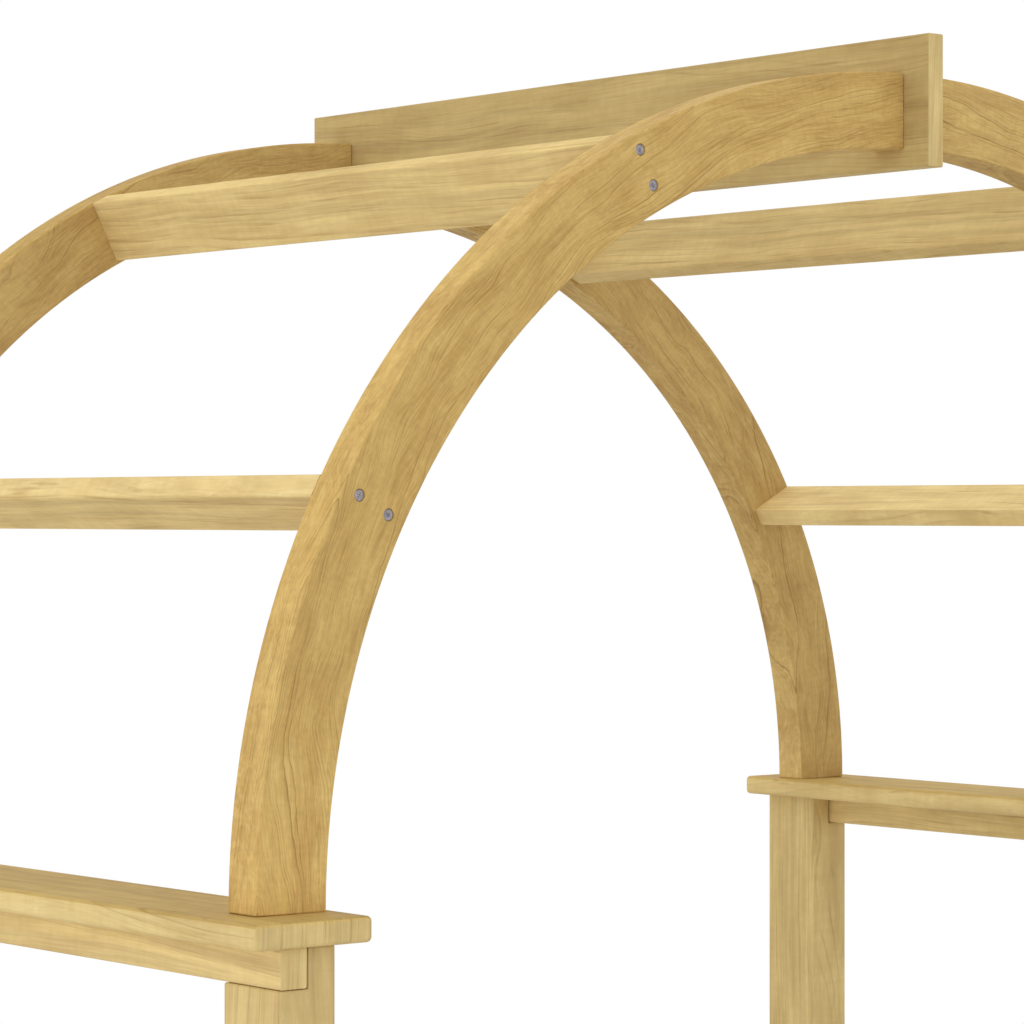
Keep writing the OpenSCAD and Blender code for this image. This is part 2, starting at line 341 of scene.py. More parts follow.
def arch_grain(tree):
    """A rib's places round the arch."""
    place = add_node(tree, "ShaderNodeTexCoord").outputs["Object"]
    return use_group(tree, arch_place, {
        "Place": place, "Arch X": arch_x, "Arch Z": cap_top,
        "Middle Radius": rib_mid_r, "Middle Y": rib_mid_y})["Grain"]


# What a timber's shade of 0 and of 1, and its warmth of 1, do to its colour; both carry the timbers' own
# tones and also painted light and shade
DARK_TINT = (0.70, 0.67, 0.61, 1.0)
PALE_TINT = (1.33, 1.36, 1.42, 1.0)
WARM_TINT = (1.0, 0.95, 0.76, 1.0)
# Planed timber: how rough and how shiny it is, and how its fibres and ring lines lie below its face
TIMBER_ROUGHNESS = (0.55, 0.7)
TIMBER_SPECULAR = 0.12
RELIEF_DEPTH = 0.0003
FIBRE_RISE = -0.5
LINE_RISE = -1.0


def timber_material(name, grain_of, colors, wander, rings, noises, layers, relief):
    """Planed softwood: layers of tints, each laid over the ones before it by its mask and share."""
    material, tree, shader = new_material(name)
    grain = use_group(tree, wandering_grain, {"Grain": grain_of(tree), **wander})["Grain"]
    ring = use_group(tree, growth_rings, {"Grain": grain, **rings})
    masks = {"tone": ring["Tone"], "line": ring["Lines"]}
    for kind, (length, width, depth, contrast, middle) in noises.items():
        sizes = {"Length": length, "Width": width, "Depth": depth, "Contrast": contrast, "Middle": middle}
        masks[kind] = use_group(tree, drawn_out_noise, {"Grain": grain, **sizes})["Value"]
    color = blend_colors(tree, masks["blotch"], colors["yellow"], colors["brown"])
    for kind, tint, share in layers:
        color = blend_colors(tree, calc(tree, "MULTIPLY", masks[kind], share), color, colors[tint])
    # Shade and warmth from the mesh: the timbers' own tones, with painted light and shade on faces that look
    # up or down, on the rib feet and on the far pieces
    shade = add_node(tree, "ShaderNodeAttribute", attribute_name="shade").outputs["Fac"]
    warmth_with_painted_bounce = add_node(tree, "ShaderNodeAttribute", attribute_name="warmth_with_painted_bounce").outputs["Fac"]
    color = blend_colors(tree, 1.0, color, blend_colors(tree, shade, DARK_TINT, PALE_TINT), "MULTIPLY")
    color = blend_colors(tree, warmth_with_painted_bounce, color, WARM_TINT, "MULTIPLY")
    tree.links.new(color, shader.inputs["Base Color"])
    tree.links.new(ramp(tree, masks["fibre"], 0.0, 1.0, *TIMBER_ROUGHNESS), shader.inputs["Roughness"])
    line_height = calc(tree, "MULTIPLY", masks["line"], LINE_RISE)
    height = calc(tree, "MULTIPLY_ADD", masks["fibre"], FIBRE_RISE, line_height)
    bump = add_node(tree, "ShaderNodeBump", {"Height": height, "Strength": relief, "Distance": RELIEF_DEPTH})
    tree.links.new(bump.outputs["Normal"], shader.inputs["Normal"])
    shader.inputs["Specular IOR Level"].default_value = TIMBER_SPECULAR
    return material


# Noises are (length, width, depth, contrast, middle), with the sizes of their features in metres
board_timber = timber_material(
    "board_timber", board_grain,
    colors={"yellow": srgb(226, 201, 138), "brown": srgb(208, 181, 121), "pale": srgb(240, 219, 160),
            "dark": srgb(158, 127, 76), "grey": srgb(176, 152, 105)},
    wander={"Sway": 0.04, "Sway Length": 0.5, "Sway Width": 0.2,
            "Ripple": 0.0022, "Ripple Length": 0.06, "Ripple Width": 0.02},
    rings={"Pith Across": 0.09, "Pith Depth": 0.05, "Taper": 0.03, "Ring Width": 0.0060, "Unevenness": 3.5},
    noises={"blotch": (0.13, 0.028, 0.06, 3.0, 0.5), "band": (0.5, 0.012, 0.04, 4.0, 0.58),
            "flame": (0.16, 0.004, 0.014, 9.0, 0.67), "streak": (0.15, 0.0024, 0.012, 4.0, 0.58),
            "fibre": (0.035, 0.0011, 0.003, 3.0, 0.5), "mottle": (0.012, 0.02, 0.05, 3.0, 0.5)},
    layers=[("band", "grey", 0.44), ("streak", "pale", 0.25), ("tone", "dark", 0.10), ("flame", "dark", 0.40),
            ("fibre", "dark", 0.12), ("mottle", "dark", 0.10), ("line", "dark", 0.45)],
    relief=0.25)

arch_timber = timber_material(
    "arch_timber", arch_grain,
    colors={"yellow": srgb(222, 190, 120), "brown": srgb(203, 167, 102), "pale": srgb(236, 208, 142),
            "dark": srgb(136, 102, 54), "grey": srgb(172, 140, 84)},
    wander={"Sway": 0.08, "Sway Length": 0.24, "Sway Width": 0.14,
            "Ripple": 0.004, "Ripple Length": 0.035, "Ripple Width": 0.02},
    rings={"Pith Across": 0.06, "Pith Depth": -0.03, "Taper": 0.12, "Ring Width": 0.0045, "Unevenness": 4.0},
    noises={"blotch": (0.09, 0.03, 0.05, 4.0, 0.5), "band": (0.35, 0.010, 0.03, 3.0, 0.58),
            "flame": (0.03, 0.010, 0.02, 5.0, 0.62), "streak": (0.10, 0.0022, 0.010, 4.0, 0.58),
            "fibre": (0.022, 0.0011, 0.003, 3.0, 0.5), "mottle": (0.006, 0.012, 0.03, 3.0, 0.5),
            "fleck": (0.012, 0.0016, 0.004, 7.0, 0.66), "reed": (0.05, 0.0018, 0.006, 6.0, 0.56)},
    layers=[("band", "grey", 0.12), ("streak", "pale", 0.28), ("tone", "dark", 0.36), ("flame", "dark", 0.14),
            ("reed", "pale", 0.26), ("fibre", "dark", 0.18), ("mottle", "dark", 0.12), ("line", "dark", 0.54),
            ("fleck", "dark", 0.2)],
    relief=0.3)


# Zinc: its blotches and its grit, for each metre, and how the blotches tint and roughen it
BLOOM_SCALE = 150.0
GRIT_SCALE = 1500.0
BLOOM_TINT_NOISE = (0.35, 0.65)
BLOOM_ROUGHNESS_NOISE = (0.3, 0.7)
STEEL_ROUGHNESS = (0.42, 0.55)


def steel_material():
    """Zinc plated steel, dulled and slightly blotched."""
    material, tree, shader = new_material("screw_steel")
    place = add_node(tree, "ShaderNodeTexCoord").outputs["Object"]
    bloom = noise(tree, place, BLOOM_SCALE, detail=3.0)
    grit = noise(tree, place, GRIT_SCALE)
    tint = ramp(tree, bloom, *BLOOM_TINT_NOISE)
    color = blend_colors(tree, tint, srgb(170, 165, 170), srgb(150, 145, 152))
    tree.links.new(color, shader.inputs["Base Color"])
    roughness = ramp(tree, bloom, *BLOOM_ROUGHNESS_NOISE, *STEEL_ROUGHNESS)
    tree.links.new(roughness, shader.inputs["Roughness"])
    bump = add_node(tree, "ShaderNodeBump", {"Height": grit, "Strength": 0.08, "Distance": 0.0001})
    tree.links.new(bump.outputs["Normal"], shader.inputs["Normal"])
    shader.inputs["Metallic"].default_value = 0.7
    return material


DOWEL_ROUGHNESS = (0.5, 0.66)


def dowel_material():
    """Plain hardwood dowel with its fibres along X."""
    material, tree, shader = new_material("dowel_wood")
    place = add_node(tree, "ShaderNodeTexCoord").outputs["Object"]
    sizes = {"Length": 0.04, "Width": 0.001, "Depth": 0.001, "Contrast": 1.6, "Middle": 0.5}
    fibre = use_group(tree, drawn_out_noise, {"Grain": place, **sizes})["Value"]
    color = blend_colors(tree, fibre, srgb(222, 190, 142), srgb(196, 160, 112))
    tree.links.new(color, shader.inputs["Base Color"])
    tree.links.new(ramp(tree, fibre, 0.0, 1.0, *DOWEL_ROUGHNESS), shader.inputs["Roughness"])
    return material


screw_steel = steel_material()
dowel_wood = dowel_material()


# Geometry trees

def curved_rib_tree():
    """A rounded rectangle swept along a quarter of a circle."""
    tree, given, result = new_group(
        "Curved rib", "GeometryNodeTree",
        [("Arch Centre", "Vector", None), ("Start Angle", "Float", 0.0), ("Middle Radius", "Float", 1.0),
         ("Width", "Float", 0.1), ("Thickness", "Float", 0.05), ("Edge Radius", "Float", 0.002),
         ("Edge Steps", "Int", 4), ("Arc Points", "Int", 97), ("Material", "Material", None)],
        [("Geometry", "Geometry")])
    arc = add_node(tree, "GeometryNodeCurveArc", {
        "Resolution": given["Arc Points"], "Radius": given["Middle Radius"],
        "Start Angle": given["Start Angle"], "Sweep Angle": math.radians(90)}, mode="RADIUS")
    outline = add_node(tree, "GeometryNodeCurvePrimitiveQuadrilateral", {
        "Width": given["Width"], "Height": given["Thickness"]})
    rounded = add_node(tree, "GeometryNodeFilletCurve", {
        "Curve": outline.outputs[0], "Radius": given["Edge Radius"], "Count": given["Edge Steps"]},
        mode="POLY")
    swept = add_node(tree, "GeometryNodeCurveToMesh", {
        "Curve": arc.outputs[0], "Profile Curve": rounded.outputs[0], "Fill Caps": True})
    placed = add_node(tree, "GeometryNodeTransform", {
        "Geometry": swept.outputs[0], "Translation": given["Arch Centre"],
        "Rotation": (math.radians(90), 0, 0)})
    finish_tree(tree, placed.outputs[0], given["Material"], result["Geometry"])
    return tree


def finish_tree(tree, geometry, material, result):
    """Makes instances real and sets their material."""
    real = add_node(tree, "GeometryNodeRealizeInstances", {"Geometry": geometry})
    painted = add_node(tree, "GeometryNodeSetMaterial", {"Geometry": real.outputs[0], "Material": material})
    tree.links.new(painted.outputs[0], result)


def turned_copies(tree, given, points):
    """Copies of a turned form on points, with +Z along the aim and each one turned at random."""
    form = add_node(tree, "GeometryNodeObjectInfo", {"Object": given["Form"]})
    turn = add_node(tree, "FunctionNodeRandomValue", {"Max": math.radians(360), "Seed": given["Seed"]})
    turn_z = combine(tree, 0.0, 0.0, turn.outputs["Value"])
    turned = add_node(tree, "FunctionNodeEulerToRotation", {"Euler": turn_z})
    aimed = add_node(tree, "FunctionNodeAlignRotationToVector", {
        "Rotation": turned.outputs[0], "Vector": given["Aim"]}, axis="Z")
    return add_node(tree, "GeometryNodeInstanceOnPoints", {
        "Points": points, "Instance": form.outputs["Geometry"], "Rotation": aimed.outputs[0]}).outputs[0]


FORM_SOCKETS = [("Form", "Object", None), ("Aim", "Vector", None), ("Seed", "Int", 0)]


def arch_pairs_tree():
    """A pair of forms at each of two angles round the arch, one either side of the rib's middle."""
    tree, given, result = new_group(
        "Pairs round the arch", "GeometryNodeTree",
        FORM_SOCKETS + [
            ("Arch Centre", "Vector", None), ("Side", "Float", 1.0), ("Middle Radius", "Float", 1.0),
            ("Pitch", "Float", 0.04), ("Lower Angle", "Float", 0.5), ("Upper Angle", "Float", 1.0),
            ("Upper Shift", "Float", 0.0), ("Material", "Material", None)],
        [("Geometry", "Geometry")])
    index = add_node(tree, "GeometryNodeInputIndex").outputs[0]
    pair = calc(tree, "FLOOR", calc(tree, "DIVIDE", index, 2.0))
    member = calc(tree, "SUBTRACT", calc(tree, "MODULO", index, 2.0), 0.5)
    opening = calc(tree, "SUBTRACT", given["Upper Angle"], given["Lower Angle"])
    angle = calc(tree, "MULTIPLY_ADD", pair, opening, given["Lower Angle"])
    middle = calc(tree, "MULTIPLY_ADD", pair, given["Upper Shift"], given["Middle Radius"])
    radius = calc(tree, "MULTIPLY_ADD", member, given["Pitch"], middle)
    reach = calc(tree, "MULTIPLY", calc(tree, "COSINE", angle), radius)
    reach = calc(tree, "MULTIPLY", reach, given["Side"])
    rise = calc(tree, "MULTIPLY", calc(tree, "SINE", angle), radius)
    place = add_node(tree, "ShaderNodeVectorMath", {
        0: given["Arch Centre"], 1: combine(tree, reach, 0.0, rise)}, operation="ADD").outputs[0]
    points = add_node(tree, "GeometryNodePoints", {"Count": 4, "Position": place}).outputs[0]
    finish_tree(tree, turned_copies(tree, given, points), given["Material"], result["Geometry"])
    return tree


def frame_pairs_tree():
    """Forms in line with the passage at both ends of a side, a given number at each end."""
    tree, given, result = new_group(
        "Pairs along a side", "GeometryNodeTree",
        FORM_SOCKETS + [
            ("Side Place", "Vector", None), ("End Y", "Float", 0.5), ("Pitch", "Float", 0.03),
            ("At Each End", "Int", 2), ("Material", "Material", None)],
        [("Geometry", "Geometry")])
    index = add_node(tree, "GeometryNodeInputIndex").outputs[0]
    each = given["At Each End"]
    end = calc(tree, "FLOOR", calc(tree, "DIVIDE", index, each))
    end = calc(tree, "MULTIPLY_ADD", end, 2.0, -1.0)
    half = calc(tree, "MULTIPLY", calc(tree, "SUBTRACT", each, 1.0), 0.5)
    member = calc(tree, "SUBTRACT", calc(tree, "MODULO", index, each), half)
    y = calc(tree, "MULTIPLY_ADD", member, given["Pitch"], calc(tree, "MULTIPLY", end, given["End Y"]))
    place = add_node(tree, "ShaderNodeVectorMath", {
        0: given["Side Place"], 1: combine(tree, 0.0, y, 0.0)}, operation="ADD").outputs[0]
    count = calc(tree, "MULTIPLY", each, 2.0)
    points = add_node(tree, "GeometryNodePoints", {"Count": count, "Position": place}).outputs[0]
    finish_tree(tree, turned_copies(tree, given, points), given["Material"], result["Geometry"])
    return tree


curved_rib = curved_rib_tree()
arch_pairs = arch_pairs_tree()
frame_pairs = frame_pairs_tree()


# Meshes

# Shades, from dark to pale, of each timber's sides and of its faces that look up: partly each timber's own
# tone, partly painted light and shade, with the far ribs and posts darker and the upper faces lighter or
# darker than the sides as light falls on them
PLAIN_SHADES = (0.5, 0.5)
TONES_AND_PAINTED_LIGHT = {
    "ridge_board": (0.23, 0.25), "purlin_lower_left": (0.69, 0.86), "purlin_lower_right": (0.62, 1.0),
    "purlin_upper_left": (0.61, 0.86), "purlin_upper_right": (0.52, 0.60), "cap_board_left": (0.64, 0.24),
    "cap_board_right": (0.55, 0.31), "top_rail_left": (0.78, 0.78), "top_rail_right": (0.53, 0.53),
    "post_front_left": (0.55, 0.55), "post_back_right": (0.44, 0.44), "rib_front_left": (0.52, 0.62),
    "rib_front_right": (0.53, 0.53), "rib_back_left": (0.35, 0.40), "rib_back_right": (0.29, 0.29)}
# Painted shade on faces that look down, where it differs from the sides
PAINTED_UNDERSIDE_SHADES = {"purlin_upper_right": 0.42, "rib_front_right": 0.24}
# Warmth of its sides and of its faces that look up; on the sides it is the timber's own hue, on the faces
# that look up it is painted warm bounce light
NO_WARMTH = (0.0, 0.0)
TIMBER_WARMTH_AND_PAINTED_BOUNCE = {"cap_board_left": (0.0, 0.95), "cap_board_right": (0.0, 1.0), "rib_front_left": (0.45, 0.65),
          "rib_front_right": (0.25, 0.25), "rib_back_left": (0.0, 1.0), "purlin_upper_left": (0.0, 0.6)}
# How much paler the ribs are painted at the foot, on the front and back and on the other faces: painted
# bounce light from below
NO_PAINTED_FOOT_LIGHT = (0.0, 0.0)
PAINTED_FOOT_LIGHT = {"rib_front_left": (0.28, 0.17), "rib_front_right": (0.26, 0.26),
              "rib_back_left": (0.26, 0.26), "rib_back_right": (0.0, 0.26)}
# Shades of the sawn ends of boards
PLAIN_END_SHADE = 0.66
END_SHADES = {"ridge_board": 0.57, "top_rail_left": 0.72}

# A face belongs to a board's end where its normal runs along the board at least this far
END_SLOPE = 0.8
# A face turns from a side into an upper or a lower face between these slopes of its normal
LEVEL_SLOPES = (0.15, 0.44)
# A rib's front and back are the faces whose normals run along Y at least this far
FRONT_SLOPE = 0.7
# Height over which a rib's foot is painted paler with bounce light
FOOT_HEIGHT = 0.25
# Edges that stay sharp turn by more than this many degrees
TIMBER_SHARP = 35
STEEL_SHARP = 30


def held_share(value, low, high):
    """How far a value is from low to high, held from 0 to 1."""
    return min(max((value - low) / (high - low), 0), 1)


def link_object(name, mesh):
    made = bpy.data.objects.new(name, mesh)
    bpy.context.scene.collection.objects.link(made)
    return made


def object_from(name, form):
    """Turns a bmesh into an object with its faces outwards."""
    bmesh.ops.recalc_face_normals(form, faces=form.faces)
    mesh = bpy.data.meshes.new(name)
    form.to_mesh(mesh)
    form.free()
    return link_object(name, mesh)


def set_material(piece, material):
    piece.data.materials.clear()
    piece.data.materials.append(material)


def bake_modifiers(piece):
    """Replaces a piece's mesh by what its modifiers make of it."""
    graph = bpy.context.evaluated_depsgraph_get()
    piece.data = bpy.data.meshes.new_from_object(
        piece.evaluated_get(graph), preserve_all_data_layers=True, depsgraph=graph)
    piece.modifiers.clear()


def run_tree(name, tree, values):
    """Makes a plain mesh object from a geometry tree, with its named inputs set."""
    piece = link_object(name, bpy.data.meshes.new(name))
    modifier = piece.modifiers.new(tree.name, "NODES")
    modifier.node_group = tree
    for socket in tree.interface.items_tree:
        if socket.in_out == "INPUT" and socket.name in values:
            modifier[socket.identifier] = values[socket.name]
    bake_modifiers(piece)
    return piece


def smooth_faces(piece, sharp_degrees):
    """Soft shading over rounded edges, with flat faces kept flat."""
    for face in piece.data.polygons:
        face.use_smooth = True
    piece.data.set_sharp_from_angle(angle=math.radians(sharp_degrees))
    weighted = piece.modifiers.new("flat faces", "WEIGHTED_NORMAL")
    weighted.keep_sharp = True
    bake_modifiers(piece)


def cut_holes(piece, holes):
    """Cuts screw holes into a timber."""
    cut = piece.modifiers.new("holes", "BOOLEAN")
    cut.operation = "DIFFERENCE"
    cut.solver = "EXACT"
    cut.object = holes
    bake_modifiers(piece)
    bpy.data.objects.remove(holes)


def shade_timber(piece, node, length_way=None):
    """Writes on a timber's mesh how pale its faces, ends and foot are, and how warm its faces are, with
    painted light and shade on faces that look up or down and painted bounce light on the rib feet.
    """
    mesh = piece.data
    side_shade, upper_shade = TONES_AND_PAINTED_LIGHT.get(node, PLAIN_SHADES)
    lower_shade = PAINTED_UNDERSIDE_SHADES.get(node, side_shade)
    front_foot, side_foot = PAINTED_FOOT_LIGHT.get(node, NO_PAINTED_FOOT_LIGHT)
    side_warmth, upper_painted_bounce = TIMBER_WARMTH_AND_PAINTED_BOUNCE.get(node, NO_WARMTH)
    for name in ("shade", "warmth_with_painted_bounce"):
        mesh.attributes.new(name, "FLOAT", "CORNER")
    shade, warmth_with_painted_bounce = mesh.attributes["shade"].data, mesh.attributes["warmth_with_painted_bounce"].data
    for face in mesh.polygons:
        # Faces that look up or down get painted light and shade, and a rib's foot gets painted bounce light
        rise = held_share(face.normal.z, *LEVEL_SLOPES)
        fall = held_share(-face.normal.z, *LEVEL_SLOPES)
        value = side_shade + (upper_shade - side_shade) * rise + (lower_shade - side_shade) * fall
        painted_paler_foot = front_foot if abs(face.normal.y) > FRONT_SLOPE else side_foot
        value += painted_paler_foot * max(1 - (face.center.z - cap_top) / FOOT_HEIGHT, 0)
        if length_way and abs(face.normal.dot(length_way)) > END_SLOPE:
            value = END_SHADES.get(node, PLAIN_END_SHADE)
        for corner in face.loop_indices:
            shade[corner].value = value
            warmth_with_painted_bounce[corner].value = side_warmth + (upper_painted_bounce - side_warmth) * rise


def dress(piece, node):
    """Lets a finished piece stand for its node."""
    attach(piece, "root")
    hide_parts(node)


# Straight boards

# Each board starts this much further along the figure
PIECE_STEP = 5.0
# A board lies, and doesn't stand, where its length rises less than this
LYING_SLOPE = 0.5
boards_made = 0


def rounded_outline(width, thickness, radius):
    """Points round a rectangle with round corners, in the plane across a board."""
    points = []
    for corner, (side_y, side_z) in enumerate(((1, 1), (-1, 1), (-1, -1), (1, -1))):
        for step in range(EDGE_STEPS + 1):
            angle = math.radians(90) * (corner + step / EDGE_STEPS)
            points.append((side_y * (width / 2 - radius) + radius * math.cos(angle),
                           side_z * (thickness / 2 - radius) + radius * math.sin(angle)))
    return points


def board_object(name, place, length, width, thickness, edge, end_edge):
    """A board along its own X, with rounded long edges and eased ends."""
    stations = []
    for step in range(EDGE_STEPS + 1):
        angle = math.radians(90) * step / EDGE_STEPS
        stations.append((end_edge * (1 - math.cos(angle)), end_edge * (1 - math.sin(angle))))
    ends = [(-length / 2 + far, inset) for far, inset in stations]
    ends += [(length / 2 - far, inset) for far, inset in reversed(stations)]
    form = bmesh.new()
    rings = []
    for x, inset in ends:
        outline = rounded_outline(width - 2 * inset, thickness - 2 * inset, edge - inset)
        rings.append([form.verts.new(place @ Vector((x, y, z))) for y, z in outline])
    for ring, following in zip(rings, rings[1:]):
        for step in range(len(ring)):
            after = (step + 1) % len(ring)
            form.faces.new((ring[step], ring[after], following[after], following[step]))
    form.faces.new(rings[0])
    form.faces.new(rings[-1])
    return object_from(name, form)


def board_place(centre, length_way, width_way):
    """Where a board lies: its own X runs along it, Y across it and Z through it."""
    thickness_way = length_way.cross(width_way)
    turn = Matrix((length_way, width_way, thickness_way)).transposed()
    return Matrix.Translation(centre) @ turn.to_4x4()


def finish_board(piece, place, node):
    """Shades the board and writes its places on it, on its own stretch of the figure.

    On the ends of a board that lies flat or on edge, the figure runs upright.
    """
    global boards_made
    boards_made += 1
    smooth_faces(piece, TIMBER_SHARP)
    mesh = piece.data
    to_board = place.inverted()
    stretch = Vector((PIECE_STEP * boards_made, 0, 0))
    length_way = place.col[0].to_3d()
    grain = mesh.attributes.new("grain", "FLOAT_VECTOR", "CORNER")
    for face in mesh.polygons:
        is_end = abs(face.normal.dot(length_way)) > END_SLOPE
        for corner in face.loop_indices:
            point = mesh.vertices[mesh.loops[corner].vertex_index].co
            spot = to_board @ point
            if is_end and abs(length_way.z) < LYING_SLOPE:
                spot = Vector((point.z, point.x, point.y))
            grain.data[corner].vector = spot + stretch
    set_material(piece, board_timber)
    shade_timber(piece, node, length_way)


def straight_board(node, width_way, edge, end_edge, holes=None):
    """A board along Y that fills its node's box."""
    low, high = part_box(node)
    size = high - low
    place = board_place((low + high) / 2, ALONG_Y, width_way)
    width, thickness = (size.z, size.x) if width_way == UP else (size.x, size.z)
    piece = board_object(node + "_board", place, size.y, width, thickness, edge, end_edge)
    if holes:
        cut_holes(piece, holes)
    finish_board(piece, place, node)
    dress(piece, node)


def post(side, end):
    """A post with a housing for each rail, cut into its outer side."""
    node = f"post_{end}_{side}"
    low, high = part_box(node)
    bed = top_rail_low.x - HOUSING_GAP
    outline = [(post_low.x, 0), (post_high.x, 0)]
    for bottom, top in ((lower_rail_low.z, lower_rail_high.z + RAIL_GAP), (top_rail_low.z - RAIL_GAP, None)):
        outline += [(post_high.x, bottom), (bed, bottom)]
        outline += [(bed, top), (post_high.x, top)] if top else [(bed, post_high.z)]
    outline.append((post_low.x, post_high.z))
    form = bmesh.new()
    faces = [[form.verts.new((SIDES[side] * x, y, z)) for x, z in outline] for y in (low.y, high.y)]
    for face in faces:
        form.faces.new(face)
    for step in range(len(outline)):
        after = (step + 1) % len(outline)
        form.faces.new((faces[0][step], faces[0][after], faces[1][after], faces[1][step]))
    bmesh.ops.recalc_face_normals(form, faces=form.faces)
    outer_edges = [edge for edge in form.edges if edge.calc_face_angle_signed() > 0]
    bmesh.ops.bevel(form, geom=outer_edges, offset=EDGE, offset_type="OFFSET", segments=EDGE_STEPS,
                    profile=0.5, affect="EDGES", clamp_overlap=True)
    piece = object_from(node + "_timber", form)
    finish_board(piece, board_place((low + high) / 2, UP, ALONG_Y), node)
    dress(piece, node)


def purlin(side, level):
    """A board between the front and back ribs, with its width along the arch's radius."""
    node = f"purlin_{level}_{side}"
    angle = PURLIN_ANGLES[level]
    outward = Vector((SIDES[side] * math.cos(angle), 0, math.sin(angle)))
    width = PURLIN_WIDTHS[level]
    centre = Vector((SIDES[side] * arch_x, 0, cap_top)) + outward * (rib_outer_r - width / 2)
    place = board_place(centre, ALONG_Y, outward)
    piece = board_object(node + "_board", place, 2 * purlin_half_length, width, PURLIN_THICKNESS,
                         EDGE, BUTT_EDGE)
    finish_board(piece, place, node)
    dress(piece, node)


# Screws and their holes

def turned_form(name, outline):
    """A form turned round Z from its outline of (radius, z), closed on the axis at both ends."""
    form = bmesh.new()
    poles = [form.verts.new((0, 0, outline[0][1])), form.verts.new((0, 0, outline[-1][1]))]
    rings = []
    for radius, z in outline[1:-1]:
        ring = []
        for step in range(TURNED_SIDES):
            angle = math.radians(360) * step / TURNED_SIDES
            ring.append(form.verts.new((radius * math.cos(angle), radius * math.sin(angle), z)))
        rings.append(ring)
    for step in range(TURNED_SIDES):
        after = (step + 1) % TURNED_SIDES
        form.faces.new((poles[0], rings[0][after], rings[0][step]))
        form.faces.new((poles[1], rings[-1][step], rings[-1][after]))
        for ring, following in zip(rings, rings[1:]):
            form.faces.new((ring[step], ring[after], following[after], following[step]))
    return object_from(name, form)


# Widths of the two wings and the middle of a cross recess, and its depth, as shares of the head's width
RECESS_SHARES = ((0.54, 0.13), (0.13, 0.54), (0.22, 0.22))
RECESS_DEPTH_SHARE = 0.08
# Levels of a recess from above the head down to its floor, in depths, and its width at each
RECESS_LEVELS = ((-0.5, 1.04), (0.0, 1.0), (1.0, 0.45))
# A screw's core, its neck and its thread's pitch, as shares of the shank's radius
CORE_SHARE = 0.68
NECK_SHARE = 0.9
PITCH_SHARE = 0.9
# Where the thread starts, as a share of the screw's length
THREAD_START_SHARE = 0.45
# How far out a thread's root lies, as a share of the core's radius, and how far it reaches to either side of
# the crest, as a share of the pitch
THREAD_ROOT_SHARE = 0.9
THREAD_SIDE_SHARE = 0.22
STEPS_A_TURN = 16
# How far a hole is clear of the shank, and how far its form reaches above the face and beyond the tip
SHANK_CLEAR = 0.0001
CUT_PAST = 0.001


def recess_block(head, share_x, share_y):
    """A block that narrows downwards, to be cut out of a screw's head."""
    form = bmesh.new()
    rings = []
    for level, width in RECESS_LEVELS:
        half_x, half_y = head * share_x * width / 2, head * share_y * width / 2
        z = HEAD_SINK + level * head * RECESS_DEPTH_SHARE
        corners = ((half_x, half_y), (-half_x, half_y), (-half_x, -half_y), (half_x, -half_y))
        rings.append([form.verts.new((x, y, z)) for x, y in corners])
    for ring, following in zip(rings, rings[1:]):
        for step in range(4):
            after = (step + 1) % 4
            form.faces.new((ring[step], ring[after], following[after], following[step]))
    form.faces.new(rings[0])
    form.faces.new(rings[-1])
    return object_from("recess_block", form)


def thread_object(core, crest, start, stop, pitch):
    """A thread wound round a screw's core, as a strip with a sharp crest."""
    form = bmesh.new()
    root, side = core * THREAD_ROOT_SHARE, pitch * THREAD_SIDE_SHARE
    steps = int((stop - start) / pitch * STEPS_A_TURN)
    rings = []
    for step in range(steps + 1):
        angle = math.radians(360) * step / STEPS_A_TURN
        z = start + (stop - start) * step / steps
        fade = min(1, step / STEPS_A_TURN, (steps - step) / STEPS_A_TURN)
        corners = ((root, z - side), (core + (crest - core) * fade, z), (root, z + side))
        rings.append([form.verts.new((r * math.cos(angle), r * math.sin(angle), up)) for r, up in corners])
    for ring, following in zip(rings, rings[1:]):
        for corner in range(3):
            after = (corner + 1) % 3
            form.faces.new((ring[corner], ring[after], following[after], following[corner]))
    form.faces.new(rings[0])
    form.faces.new(rings[-1])
    return object_from("thread", form)


def screw_form(name, sizes):
    """A countersunk screw along +Z from the timber's face, with a cross recess and a thread."""
    shank, head = sizes["shank"] / 2, sizes["head"] / 2
    length = HEAD_SINK + sizes["length"]
    cone_end = HEAD_SINK + HEAD_RIM + head - shank
    core, neck = shank * CORE_SHARE, shank * NECK_SHARE
    thread_start = length * THREAD_START_SHARE
    outline = [(0, HEAD_SINK), (head - HEAD_EASE, HEAD_SINK), (head, HEAD_SINK + HEAD_EASE),
               (head, HEAD_SINK + HEAD_RIM), (neck, cone_end), (neck, thread_start - shank),
               (core, thread_start), (core, length - TIP), (0, length)]
    piece = turned_form(name, outline)
    for share_x, share_y in RECESS_SHARES:
        cut_holes(piece, recess_block(sizes["head"], share_x, share_y))
    thread = thread_object(core, shank, thread_start, length - TIP, shank * PITCH_SHARE)
    with bpy.context.temp_override(active_object=piece, selected_editable_objects=[piece, thread]):
        bpy.ops.object.join()
    return piece


def hole_form(name, sizes):
    """The hole for a screw, with its counterbore and countersink."""
    shank, head = sizes["shank"] / 2 + SHANK_CLEAR, sizes["head"] / 2 + HEAD_GAP
    cone_top = HEAD_SINK + HEAD_RIM
    end = HEAD_SINK + sizes["length"] + CUT_PAST
    outline = [(0, -CUT_PAST), (head + HOLE_EASE + CUT_PAST, -CUT_PAST), (head, HOLE_EASE), (head, cone_top),
               (shank, cone_top + head - shank), (shank, end), (0, end)]
    return turned_form(name, outline)


screw_forms = {kind: screw_form(kind + "_screw_form", sizes) for kind, sizes in SCREWS.items()}
hole_forms = {kind: hole_form(kind + "_screw_hole", SCREWS[kind]) for kind in SEEN_HOLES}


